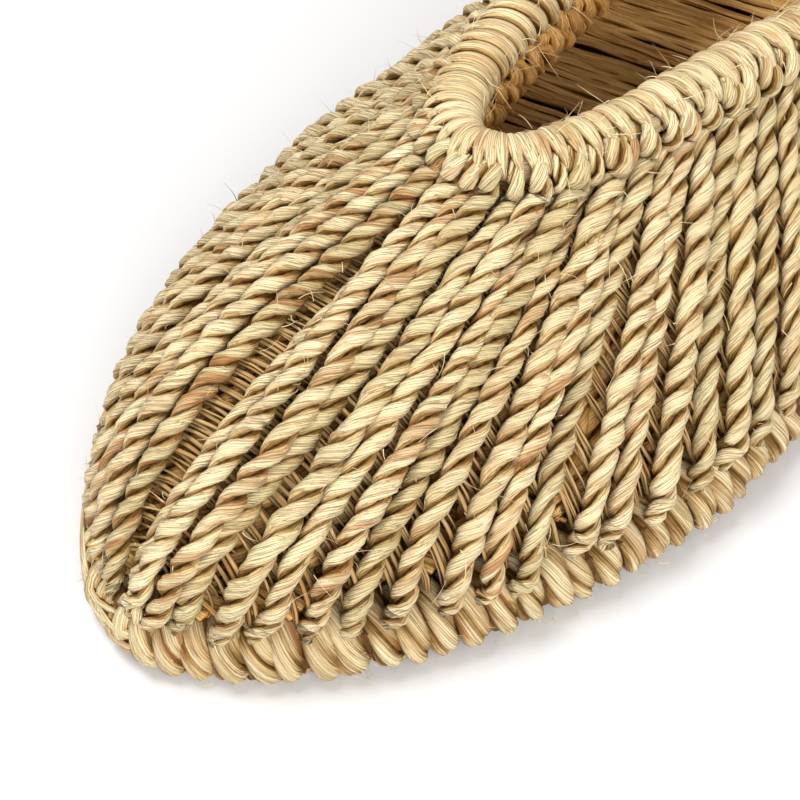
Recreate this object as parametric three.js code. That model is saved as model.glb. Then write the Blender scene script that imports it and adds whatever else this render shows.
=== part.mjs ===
// A closed-toe straw slip-on, woven and corded by hand, for the left foot.
// Frame: the toe points along +X, the outer side of the foot is +Y, the floor is z = 0,
// and the origin is on the floor under the middle of the shoe's box.
// "Behind" is always the distance behind the toe tip.

import * as THREE from 'three';

// Driving sizes, in millimetres
const LENGTH = 262;
const BALL_WIDTH = 92.5;
const HEEL_WIDTH = 73;
const BALL_BEHIND = 81;
const HEEL_ROUND = 42;
const TOE_TURN = 2.3;

const SOLE_THICKNESS = 10.5;
const WEFT_PITCH = 4.4;
const WEFT_GROOVE = 0.9;
const INSOLE_THICKNESS = 2.6;
const INSOLE_RIDGE = 0.7;
const INSOLE_END_GAP = 2;
const INSOLE_SIDE_GAP = 1;

const CORD_COUNT = 80;
const CORD_DIAMETER = 3.7;
const WALL = 2.6;
const SLIT_WIDTH = 0.7;
const CORD_WIDTH_AT_SLIT_END = 2.2;
const WALL_INSET = 3.2;

const THROAT_BEHIND = 74.5;
const THROAT_HEIGHT = 50;
const SIDE_DIP = 4;
const HEEL_RISE = 8;
const HEEL_WALL = 15;
const THROAT_ROUND = 56;
const THROAT_WIDTH = 25;
const ANKLE_WIDTH = 46;
const COLLAR_HEEL_ROUND = 34;
const ROLL_DIAMETER = 8.8;

const CLEARANCE = 0.3;

// Powers of the rounded ends: 2 is an ellipse, more is squarer, less is more pointed
const TOE_POWER = 1.74;
const THROAT_POWER = 1.98;
const HEEL_POWER = 2.2;

// Powers of the fan of cords: above 1 they crowd round the toe, and more so at the throat
const TOE_CROWDING = 1.2;
const FAN_RAKE = 1.4;

// How full the upper is, as shares of its rise and run, round the toe and along the sides
const FULLNESS = {
  toe: { lift: 0.52, shoulder: 0.36, shoulderSlope: 0.6 },
  side: { lift: 0.24, shoulder: 0.3, shoulderSlope: 0.85 },
};

// Where the middle of the collar roll lies from the edge of the opening, in its radii
const ROLL_SEAT = { outward: 0.86, down: 0.52 };

// The side of the sole, from the underside up: its inset in millimetres, its height as a
// share of the thickness, and how much of the groove between two turns it has
const SOLE_SIDE = [
  { inset: 2.2, height: 0.0, groove: 0 },
  { inset: 0.3, height: 0.15, groove: 1 },
  { inset: 0.0, height: 0.5, groove: 1 },
  { inset: 0.5, height: 0.84, groove: 1 },
  { inset: 2.4, height: 1.0, groove: 0 },
];

// Where the wall is divided from its base band to its collar band, in shares of the slit
const SLIT_STEPS = [0, 0.14, 0.32, 0.54, 0.77, 1];
const SLIT_START = 0.055;
const SLIT_LAST_START = 0.9;
const SLIT_SHORTEST = 0.1;
const SLIT_END_STEP = 0.02;

// The least of its step in the fan that a cord fills, where the fan is wide
const CORD_SHARE = 0.7;

// Shares of the opening's length where the collar stops dipping and where it starts to rise
const DIP_END = 0.5;
const RISE_START = 0.55;

// The length over which the opening widens to the ankle, in lengths of the throat's round
const ANKLE_SPREAD = 1.5;

// How finely the faceted shapes are divided
const LOOP_STEPS = 240;
const LOOP_REACH = 0.002;
const SURFACE_REACH = 0.02;
const ROLL_STATIONS = 72;
const ROLL_SIDES = 8;
const ROLL_CROWDING = 0.7;
const INSET_TURNS = 24;

// The insole's flat crown, as a share of its half width
const CROWN_SHARE = 0.7;

const STRAW = { colour: 0xd8c08c, roughness: 0.78 };
const SHADED_STRAW = { colour: 0xa8895a, roughness: 0.85 };

// Small helpers

function mix(from, to, share) {
  return from + (to - from) * share;
}

function ease(share) {
  const held = Math.min(1, Math.max(0, share));
  return held * held * (3 - 2 * held);
}

function roundEnd(share, power) {
  if (share >= 1) {
    return 1;
  }
  const left = 1 - Math.max(0, share);
  return (1 - left ** power) ** (1 / power);
}

function makeBody(name, points, triangles, finish) {
  const geometry = new THREE.BufferGeometry();
  const flat = points.flatMap((point) => [point.x, point.y, point.z]);
  geometry.setAttribute('position', new THREE.Float32BufferAttribute(flat, 3));
  geometry.setIndex(triangles.flat());
  geometry.computeVertexNormals();
  const material = new THREE.MeshStandardMaterial({
    color: finish.colour,
    roughness: finish.roughness,
    metalness: 0,
  });
  const mesh = new THREE.Mesh(geometry, material);
  mesh.name = name;
  return mesh;
}

// Two triangles for the four corners a, b, c, d, named anticlockwise as seen from outside
function quad(a, b, c, d) {
  return [[a, b, c], [a, c, d]];
}

// A closed loop seen from above, from its front tip round the left side to its back and
// on round the right side. Each side is measured by its own arc length, so that
// share 0.5 is always the middle of the back.
function makeLoop(frontBehind, backBehind, halfWidth, centre) {
  const sides = [1, -1].map((side) => {
    const points = [];
    const lengths = [0];
    for (let step = 0; step <= LOOP_STEPS; step += 1) {
      const along = (1 - Math.cos((Math.PI * step) / LOOP_STEPS)) / 2;
      const behind = mix(frontBehind, backBehind, along);
      points.push(new THREE.Vector2(LENGTH / 2 - behind, centre(behind) + side * halfWidth(behind)));
      if (step > 0) {
        lengths.push(lengths[step - 1] + points[step].distanceTo(points[step - 1]));
      }
    }
    return { points, lengths };
  });

  function at(share) {
    const turned = share - Math.floor(share);
    const side = turned <= 0.5 ? sides[0] : sides[1];
    const sideShare = turned <= 0.5 ? turned * 2 : (1 - turned) * 2;
    const wanted = sideShare * side.lengths[LOOP_STEPS];
    let next = side.lengths.findIndex((length) => length >= wanted);
    next = Math.max(1, next);
    const before = side.lengths[next - 1];
    const between = (wanted - before) / (side.lengths[next] - before);
    return side.points[next - 1].clone().lerp(side.points[next], between);
  }

  function outward(share) {
    const ahead = at(share + LOOP_REACH).sub(at(share - LOOP_REACH));
    return new THREE.Vector2(ahead.y, -ahead.x).normalize();
  }

  const perimeter = sides[0].lengths[LOOP_STEPS] + sides[1].lengths[LOOP_STEPS];
  return { at, outward, perimeter };
}

// The outline of the sole

function soleHalfWidth(behind) {
  const waistStart = BALL_BEHIND;
  const waistEnd = LENGTH - HEEL_ROUND;
  if (behind < waistStart) {
    return (BALL_WIDTH / 2) * roundEnd(behind / BALL_BEHIND, TOE_POWER);
  }
  if (behind > waistEnd) {
    return (HEEL_WIDTH / 2) * roundEnd((LENGTH - behind) / HEEL_ROUND, HEEL_POWER);
  }
  const share = ease((behind - waistStart) / (waistEnd - waistStart));
  return mix(BALL_WIDTH / 2, HEEL_WIDTH / 2, share);
}

function soleCentre(behind) {
  const share = Math.max(0, 1 - behind / BALL_BEHIND);
  return -TOE_TURN * share * share;
}

const soleLoop = makeLoop(0, LENGTH, soleHalfWidth, soleCentre);

// The outline of the opening, at the inner edge of the rolled collar

const COLLAR_BACK_BEHIND = LENGTH - HEEL_WALL;

function collarHalfWidth(behind) {
  const inFront = behind - THROAT_BEHIND;
  const throat = (THROAT_WIDTH / 2) * roundEnd(inFront / THROAT_ROUND, THROAT_POWER);
  const ankleShare = ease((inFront - THROAT_ROUND / 2) / (ANKLE_SPREAD * THROAT_ROUND));
  const ankle = ((ANKLE_WIDTH - THROAT_WIDTH) / 2) * ankleShare;
  return (throat + ankle) * roundEnd((COLLAR_BACK_BEHIND - behind) / COLLAR_HEEL_ROUND, HEEL_POWER);
}

function collarHeight(point) {
  const behind = LENGTH / 2 - point.x;
  const share = (behind - THROAT_BEHIND) / (COLLAR_BACK_BEHIND - THROAT_BEHIND);
  const dip = SIDE_DIP * ease(share / DIP_END);
  const rise = HEEL_RISE * ease((share - RISE_START) / (1 - RISE_START));
  return THROAT_HEIGHT - dip + rise;
}

const collarLoop = makeLoop(THROAT_BEHIND, COLLAR_BACK_BEHIND, collarHalfWidth, () => 0);

// The middle of the roll that finishes the collar, at a share round the opening
function rollCentre(share) {
  const edge = collarLoop.at(share);
  const outward = collarLoop.outward(share);
  const radius = ROLL_DIAMETER / 2;
  const middle = edge.clone().addScaledVector(outward, ROLL_SEAT.outward * radius);
  return new THREE.Vector3(middle.x, middle.y, collarHeight(edge) - ROLL_SEAT.down * radius);
}

// The surface of the upper. Around runs from 0 to 1 from the toe round the left side,
// and up runs from 0 at the sole to 1 at the collar, along the cords.

function fanShares(around) {
  const turned = around - Math.floor(around);
  const left = turned <= 0.5;
  const sideShare = left ? turned * 2 : (1 - turned) * 2;
  const base = sideShare ** TOE_CROWDING;
  const top = base ** FAN_RAKE;
  return left ? { base: base / 2, top: top / 2 } : { base: 1 - base / 2, top: 1 - top / 2 };
}

function upperCurve(around) {
  const shares = fanShares(around);
  const edge = soleLoop.at(shares.base);
  const edgeOut = soleLoop.outward(shares.base);
  const foot = edge.clone().addScaledVector(edgeOut, -WALL_INSET);
  const start = new THREE.Vector3(foot.x, foot.y, SOLE_THICKNESS + CLEARANCE);

  const roll = rollCentre(shares.top);
  const rollOut = collarLoop.outward(shares.top);
  const run = new THREE.Vector2(start.x - roll.x, start.y - roll.y);
  const rise = roll.z - start.z;
  const toeShare = ease(1 - (LENGTH / 2 - edge.x) / BALL_BEHIND);
  const lifted = mix(FULLNESS.side.lift, FULLNESS.toe.lift, toeShare);
  const shouldered = mix(FULLNESS.side.shoulder, FULLNESS.toe.shoulder, toeShare);
  const flattened = mix(FULLNESS.side.shoulderSlope, FULLNESS.toe.shoulderSlope, toeShare);
  const slope = flattened * Math.atan2(rise, run.length());
  const slopeAcross = Math.atan2(Math.tan(slope) * run.length(), Math.max(1, run.dot(rollOut)));
  const reach = ROLL_DIAMETER / 2 + 2 * CLEARANCE;
  const end = new THREE.Vector3(
    roll.x + reach * Math.cos(slopeAcross) * rollOut.x,
    roll.y + reach * Math.cos(slopeAcross) * rollOut.y,
    roll.z - reach * Math.sin(slopeAcross),
  );

  const lift = start.clone();
  lift.z += lifted * rise;
  const shoulder = end.clone();
  shoulder.x += shouldered * (start.x - end.x);
  shoulder.y += shouldered * (start.y - end.y);
  shoulder.z -= shouldered * run.length() * Math.tan(slope);
  return new THREE.CubicBezierCurve3(start, lift, shoulder, end);
}

// A stretch of surface round one spot: the point, the way out, and the cords' spacing
function upperSpot(around, up) {
  const step = 0.5 / CORD_COUNT;
  const point = upperCurve(around).getPoint(up);
  const ahead = upperCurve(around + step).getPoint(up).sub(upperCurve(around - step).getPoint(up));
  const below = Math.max(0, up - SURFACE_REACH);
  const above = Math.min(1, up + SURFACE_REACH);
  const along = upperCurve(around).getPoint(above).sub(upperCurve(around).getPoint(below));
  const outward = ahead.clone().cross(along).normalize();
  const spacing = ahead.clone().cross(along).length() / along.length();
  return { point, outward, spacing };
}

function slitEnd(around) {
  for (let up = SLIT_LAST_START; up > SLIT_START; up -= SLIT_END_STEP) {
    if (upperSpot(around, up).spacing >= CORD_WIDTH_AT_SLIT_END + SLIT_WIDTH) {
      return up;
    }
  }
  return SLIT_START + SLIT_SHORTEST;
}

// The upper is one wall: a band round its foot, a band under the collar, and between them
// a raised cord for each step of the fan, with a slit through the wall beside it.
function makeUpper() {
  const points = [];
  const triangles = [];
  const levels = SLIT_STEPS.length + 2;
  const last = levels - 1;
  const ridge = (CORD_DIAMETER - WALL) / 2;

  function heightOf(level, end) {
    if (level === 0) {
      return 0;
    }
    if (level === last) {
      return 1;
    }
    return mix(SLIT_START, end, SLIT_STEPS[level - 1]);
  }

  function addPoint(around, up, outwardBy) {
    const spot = upperSpot(around, up);
    points.push(spot.point.addScaledVector(spot.outward, outwardBy));
    return points.length - 1;
  }

  const ends = [];
  for (let cord = 0; cord < CORD_COUNT; cord += 1) {
    ends.push(slitEnd((cord + 1) / CORD_COUNT));
  }

  // Each cord has an outer and an inner point on both of its edges, and one on its ridge
  const cords = [];
  for (let cord = 0; cord < CORD_COUNT; cord += 1) {
    const endBefore = ends[(cord + CORD_COUNT - 1) % CORD_COUNT];
    const endAfter = ends[cord];
    const columns = { leftOut: [], leftIn: [], rightOut: [], rightIn: [], ridge: [] };
    for (let level = 0; level < levels; level += 1) {
      const middleUp = heightOf(level, (endBefore + endAfter) / 2);
      const middle = (cord + 0.5) / CORD_COUNT;
      const spacing = upperSpot(middle, middleUp).spacing;
      const width = Math.max(CORD_SHARE * spacing, Math.min(CORD_DIAMETER, spacing - SLIT_WIDTH));
      const half = width / spacing / 2 / CORD_COUNT;
      const upBefore = heightOf(level, endBefore);
      const upAfter = heightOf(level, endAfter);
      columns.leftOut.push(addPoint(middle - half, upBefore, -ridge));
      columns.leftIn.push(addPoint(middle - half, upBefore, -WALL));
      columns.ridge.push(addPoint(middle, middleUp, ridge));
      columns.rightOut.push(addPoint(middle + half, upAfter, -ridge));
      columns.rightIn.push(addPoint(middle + half, upAfter, -WALL));
    }
    cords.push(columns);
  }

  for (let cord = 0; cord < CORD_COUNT; cord += 1) {
    const here = cords[cord];
    const next = cords[(cord + 1) % CORD_COUNT];
    for (let level = 0; level < last; level += 1) {
      const up = level + 1;
      triangles.push(...quad(here.leftOut[level], here.ridge[level], here.ridge[up], here.leftOut[up]));
      triangles.push(...quad(here.ridge[level], here.rightOut[level], here.rightOut[up], here.ridge[up]));
      triangles.push(...quad(here.rightIn[level], here.leftIn[level], here.leftIn[up], here.rightIn[up]));
      const inBand = level === 0 || level === last - 1;
      if (inBand) {
        triangles.push(...quad(here.rightOut[level], next.leftOut[level],
          next.leftOut[up], here.rightOut[up]));
        triangles.push(...quad(next.leftIn[level], here.rightIn[level],
          here.rightIn[up], next.leftIn[up]));
      } else {
        triangles.push(...quad(here.rightOut[level], here.rightIn[level],
          here.rightIn[up], here.rightOut[up]));
        triangles.push(...quad(next.leftIn[level], next.leftOut[level],
          next.leftOut[up], next.leftIn[up]));
      }
    }
    triangles.push(...quad(here.rightIn[1], here.rightOut[1], next.leftOut[1], next.leftIn[1]));
    triangles.push(...quad(here.rightOut[last - 1], here.rightIn[last - 1], next.leftIn[last - 1],
      next.leftOut[last - 1]));
    triangles.push([here.leftOut[0], here.leftIn[0], here.ridge[0]]);
    triangles.push([here.leftIn[0], here.rightIn[0], here.ridge[0]]);
    triangles.push([here.rightIn[0], here.rightOut[0], here.ridge[0]]);
    triangles.push(...quad(here.rightOut[0], here.rightIn[0], next.leftIn[0], next.leftOut[0]));
    triangles.push([here.leftIn[last], here.leftOut[last], here.ridge[last]]);
    triangles.push([here.rightIn[last], here.leftIn[last], here.ridge[last]]);
    triangles.push([here.rightOut[last], here.rightIn[last], here.ridge[last]]);
    triangles.push(...quad(here.rightIn[last], here.rightOut[last], next.leftOut[last], next.leftIn[last]));
  }
  return makeBody('upper', points, triangles, STRAW);
}

// A ring of equal rows: each row holds as many points as the next, joined all round
function joinRings(rows, closedRound) {
  const points = rows.flat();
  const width = rows[0].length;
  const triangles = [];
  const lastRow = closedRound ? rows.length : rows.length - 1;
  for (let row = 0; row < lastRow; row += 1) {
    const next = (row + 1) % rows.length;
    for (let column = 0; column < width; column += 1) {
      const beside = (column + 1) % width;
      triangles.push(...quad(row * width + column, row * width + beside,
        next * width + beside, next * width + column));
    }
  }
  return { points, triangles };
}

// The roll round the collar: a core that every cord passes over
function makeCollarRoll() {
  const radius = ROLL_DIAMETER / 2;
  const rows = [];
  for (let station = 0; station < ROLL_STATIONS; station += 1) {
    const even = station / ROLL_STATIONS;
    const share = even - (ROLL_CROWDING * Math.sin(2 * Math.PI * even)) / (2 * Math.PI);
    const centre = rollCentre(share);
    const outward = collarLoop.outward(share);
    const row = [];
    for (let side = 0; side < ROLL_SIDES; side += 1) {
      const angle = (2 * Math.PI * (side + 0.5)) / ROLL_SIDES;
      const away = radius * Math.cos(angle);
      row.push(new THREE.Vector3(
        centre.x + away * outward.x,
        centre.y + away * outward.y,
        centre.z - radius * Math.sin(angle),
      ));
    }
    rows.push(row);
  }
  const { points, triangles } = joinRings(rows, true);
  return makeBody('collar_roll', points, triangles, STRAW);
}

// The sole: a thick woven slab, flat underneath, whose side swells at each turn of the weft
function makeSole() {
  const lobes = 2 * Math.round(soleLoop.perimeter / WEFT_PITCH / 2);
  const columns = 2 * lobes;
  const rows = SOLE_SIDE.map((step) => {
    const row = [];
    for (let column = 0; column < columns; column += 1) {
      const share = column / columns;
      const grooved = column % 2 === 1;
      const inset = step.inset + (grooved ? step.groove * WEFT_GROOVE : 0);
      const flat = soleLoop.at(share).addScaledVector(soleLoop.outward(share), -inset);
      row.push(new THREE.Vector3(flat.x, flat.y, step.height * SOLE_THICKNESS));
    }
    return row;
  });
  const { points, triangles } = joinRings(rows, false);

  // The underside and the top are closed across, from each left point to its right one
  const topStart = (rows.length - 1) * columns;
  for (let column = 0; column < columns / 2; column += 1) {
    const across = (columns - column) % columns;
    const beyond = columns - column - 1;
    if (column > 0) {
      triangles.push([across, beyond, column]);
      triangles.push([topStart + column, topStart + beyond, topStart + across]);
    }
    if (beyond !== column + 1) {
      triangles.push([column, beyond, column + 1]);
      triangles.push([topStart + column, topStart + column + 1, topStart + beyond]);
    }
  }
  return makeBody('sole', points, triangles, STRAW);
}

// The insole: the woven bed that the foot stands on, ridged across by its wefts
function makeInsole() {
  const inset = WALL_INSET + WALL + INSOLE_SIDE_GAP;
  const underside = SOLE_THICKNESS + CLEARANCE;
  const front = LENGTH / 2 - inset - INSOLE_END_GAP;
  const length = 2 * front;
  const ridges = Math.round(length / WEFT_PITCH);
  const stations = 2 * ridges;
  const rows = [];
  for (let station = 0; station <= stations; station += 1) {
    const x = front - (length * station) / stations;
    const behind = LENGTH / 2 - x;
    const half = insetHalfWidth(behind, inset);
    const centre = soleCentre(behind);
    const crest = station % 2 === 1 ? INSOLE_RIDGE : 0;
    const top = underside + INSOLE_THICKNESS;
    rows.push([
      new THREE.Vector3(x, centre + half, underside),
      new THREE.Vector3(x, centre - half, underside),
      new THREE.Vector3(x, centre - half, top - INSOLE_RIDGE / 2),
      new THREE.Vector3(x, centre - CROWN_SHARE * half, top + crest),
      new THREE.Vector3(x, centre + CROWN_SHARE * half, top + crest),
      new THREE.Vector3(x, centre + half, top - INSOLE_RIDGE / 2),
    ]);
  }
  const { points, triangles } = joinRings(rows, false);
  const width = rows[0].length;
  const lastRow = stations * width;
  for (let corner = 1; corner < width - 1; corner += 1) {
    triangles.push([0, corner + 1, corner]);
    triangles.push([lastRow, lastRow + corner, lastRow + corner + 1]);
  }
  return makeBody('insole', points, triangles, SHADED_STRAW);
}

// Half the width of the sole's outline when all of it is drawn in by an inset
function insetHalfWidth(behind, inset) {
  let widest = 0;
  for (let turn = 0; turn <= INSET_TURNS; turn += 1) {
    const angle = (Math.PI * turn) / INSET_TURNS - Math.PI / 2;
    const reach = soleHalfWidth(Math.min(LENGTH, Math.max(0, behind + inset * Math.sin(angle))));
    const half = reach - inset * Math.cos(angle);
    widest = turn === 0 ? half : Math.min(widest, half);
  }
  return Math.max(1, widest);
}

const shoe = new THREE.Group();
shoe.add(makeSole());
shoe.add(makeInsole());
shoe.add(makeUpper());
shoe.add(makeCollarRoll());

export default shoe;
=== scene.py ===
"""Dresses the straw slip-on: twisted cords, wrapped collar, woven sole and loose fibres.

All shapes are worked out in millimetres in the shoe's own frame and written in metres.
The toe points along +X, the outer side of the foot is +Y and the floor is z = 0.
"""

import math

import bmesh
import bpy
import numpy as np
from bpy.props import FloatProperty, FloatVectorProperty, IntProperty, PointerProperty
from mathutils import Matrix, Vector


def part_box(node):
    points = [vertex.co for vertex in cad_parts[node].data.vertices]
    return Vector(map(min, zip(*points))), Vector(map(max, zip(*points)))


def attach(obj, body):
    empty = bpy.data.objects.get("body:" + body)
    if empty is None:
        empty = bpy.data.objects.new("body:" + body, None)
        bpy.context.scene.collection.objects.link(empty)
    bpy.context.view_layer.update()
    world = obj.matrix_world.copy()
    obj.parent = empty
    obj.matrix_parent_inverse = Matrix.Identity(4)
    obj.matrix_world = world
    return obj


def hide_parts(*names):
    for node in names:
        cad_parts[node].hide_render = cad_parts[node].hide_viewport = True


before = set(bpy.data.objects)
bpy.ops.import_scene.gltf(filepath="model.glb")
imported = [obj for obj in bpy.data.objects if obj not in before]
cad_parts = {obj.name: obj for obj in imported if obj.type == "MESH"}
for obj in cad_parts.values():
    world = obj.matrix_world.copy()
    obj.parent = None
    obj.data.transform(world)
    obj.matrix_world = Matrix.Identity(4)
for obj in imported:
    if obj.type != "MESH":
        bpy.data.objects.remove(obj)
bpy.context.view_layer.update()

SOLE_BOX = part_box("sole")

bl_info = {
    "name": "Straw slip-on",
    "version": (1, 0, 0),
    "blender": (4, 5, 0),
    "location": "View3D > Sidebar > Straw slip-on",
    "description": "Twisted cords, wrapped collar, woven sole and loose fibres of a straw shoe",
    "category": "Object",
}

MM = 0.001
SEED = 20


# The sizes and colours that a user would change


class ShoeSizes(bpy.types.PropertyGroup):
    length: FloatProperty(
        name="Length", description="From the heel's edge to the toe tip",
        default=SOLE_BOX[1][0] - SOLE_BOX[0][0], unit="LENGTH")
    ball_width: FloatProperty(
        name="Ball width", description="Across the sole at the ball of the foot",
        default=0.0925, unit="LENGTH")
    heel_width: FloatProperty(
        name="Heel width", description="Across the sole at the heel",
        default=0.073, unit="LENGTH")
    sole_thickness: FloatProperty(
        name="Sole thickness", description="From the floor to the top of the woven slab",
        default=SOLE_BOX[1][2] - SOLE_BOX[0][2], unit="LENGTH")
    throat_behind: FloatProperty(
        name="Throat behind the toe", description="From the toe tip to the front of the opening",
        default=0.0745, unit="LENGTH")
    throat_height: FloatProperty(
        name="Throat height", description="From the floor to the collar at the throat",
        default=0.050, unit="LENGTH")
    cord_diameter: FloatProperty(
        name="Cord diameter", description="Across both plies of a cord",
        default=0.0037, unit="LENGTH")
    twist_pitch: FloatProperty(
        name="Twist pitch", description="Length of cord in which its plies turn once",
        default=0.0092, unit="LENGTH")
    weft_pitch: FloatProperty(
        name="Weft pitch", description="From one turn of the sole's weft to the next",
        default=0.0044, unit="LENGTH")


class ShoeCounts(bpy.types.PropertyGroup):
    cords: IntProperty(
        name="Cords", description="Twisted cords in the fan of the upper", default=80, min=20)
    ribs: IntProperty(
        name="Ribs", description="Straws across the foot, behind the cords", default=380, min=10)
    wraps: IntProperty(
        name="Collar wraps", description="Turns of straw over the collar", default=122, min=20)
    hairs: IntProperty(
        name="Loose fibres", description="Stray fibres over the shoe", default=1500, min=0)


class ShoeColours(bpy.types.PropertyGroup):
    pale: FloatVectorProperty(
        name="Pale straw", description="The lightest fibres", subtype="COLOR",
        size=4, default=(0.87, 0.735, 0.46, 1.0), min=0.0, max=1.0)
    tan: FloatVectorProperty(
        name="Tan straw", description="The darker fibres", subtype="COLOR",
        size=4, default=(0.53, 0.36, 0.155, 1.0), min=0.0, max=1.0)
    green: FloatVectorProperty(
        name="Green straw", description="Fibres cut before they were ripe", subtype="COLOR",
        size=4, default=(0.51, 0.465, 0.235, 1.0), min=0.0, max=1.0)
    # Inside the shoe the straw runs from golden to brown: its own light and dark fibres, warmed and darkened
    # by painted shade for the light bounced between the straws there
    golden: FloatVectorProperty(
        name="Golden", description="Palest straw inside the shoe", subtype="COLOR", size=4,
        default=(0.95, 0.58, 0.20, 1.0), min=0.0, max=1.0)
    brown: FloatVectorProperty(
        name="Brown", description="Darkest straw inside the shoe", subtype="COLOR", size=4,
        default=(0.33, 0.13, 0.018, 1.0), min=0.0, max=1.0)
    rust: FloatVectorProperty(
        name="Rust stain", description="Orange and brown patches", subtype="COLOR",
        size=4, default=(0.43, 0.19, 0.06, 1.0), min=0.0, max=1.0)
    shade: FloatVectorProperty(
        name="Deep shade", description="Between the plies and inside the shoe", subtype="COLOR",
        size=4, default=(0.10, 0.043, 0.004, 1.0), min=0.0, max=1.0)


# The form of the shoe, as the solids have it

BALL_SHARE = 81 / 262
HEEL_ROUND = 42.0
TOE_TURN = 2.3
TOE_POWER = 1.74
THROAT_POWER = 1.98
HEEL_POWER = 2.2
SIDE_DIP = 4.0
HEEL_RISE = 8.0
HEEL_RISE_FROM = 0.55
HEEL_RISE_OVER = 0.45
HEEL_WALL = 15.0
THROAT_ROUND = 56.0
THROAT_WIDTH = 25.0
ANKLE_WIDTH = 46.0
COLLAR_HEEL_ROUND = 34.0
ROLL_RADIUS = 4.4
ROLL_OUTWARD = 0.86
ROLL_DOWN = 0.52
TOE_CROWDING = 1.2
FAN_RAKE = 1.4
WALL_INSET = 3.2
CLEARANCE = 0.3
FLOOR_GAP = 0.02
TOE_FULLNESS = (0.52, 0.36, 0.6)
SIDE_FULLNESS = (0.24, 0.30, 0.85)


def mix(start, end, share):
    return start + (end - start) * share


def ease(share):
    held = np.clip(share, 0.0, 1.0)
    return held * held * (3.0 - 2.0 * held)


def round_end(share, power):
    left = 1.0 - np.clip(share, 0.0, 1.0)
    return np.clip(1.0 - left ** power, 0.0, 1.0) ** (1.0 / power)


def unit(vectors):
    return vectors / np.maximum(np.linalg.norm(vectors, axis=-1, keepdims=True), 1e-9)


class Loop:
    """A closed loop seen from above, from its front tip round the left side to its back."""

    STEPS = 240

    def __init__(self, length, front_behind, back_behind, half_width, centre):
        turn = np.linspace(0.0, math.pi, self.STEPS + 1)
        behind = mix(front_behind, back_behind, (1.0 - np.cos(turn)) / 2.0)
        self.sides = []
        for side in (1.0, -1.0):
            across = centre(behind) + side * half_width(behind)
            points = np.stack([length / 2.0 - behind, across], axis=1)
            steps = np.linalg.norm(np.diff(points, axis=0), axis=1)
            lengths = np.concatenate([[0.0], np.cumsum(steps)])
            self.sides.append((points, lengths))
        self.perimeter = self.sides[0][1][-1] + self.sides[1][1][-1]

    def at(self, share):
        turned = np.mod(np.asarray(share, float), 1.0)
        found = []
        for (points, lengths), side_share in zip(self.sides, (turned * 2.0, (1.0 - turned) * 2.0)):
            wanted = np.clip(side_share, 0.0, 1.0) * lengths[-1]
            across = [np.interp(wanted, lengths, points[:, axis]) for axis in (0, 1)]
            found.append(np.stack(across, axis=-1))
        return np.where((turned <= 0.5)[..., None], found[0], found[1])

    def outward(self, share):
        reach = 0.002
        ahead = self.at(share + reach) - self.at(share - reach)
        return unit(np.stack([ahead[..., 1], -ahead[..., 0]], axis=-1))


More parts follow.
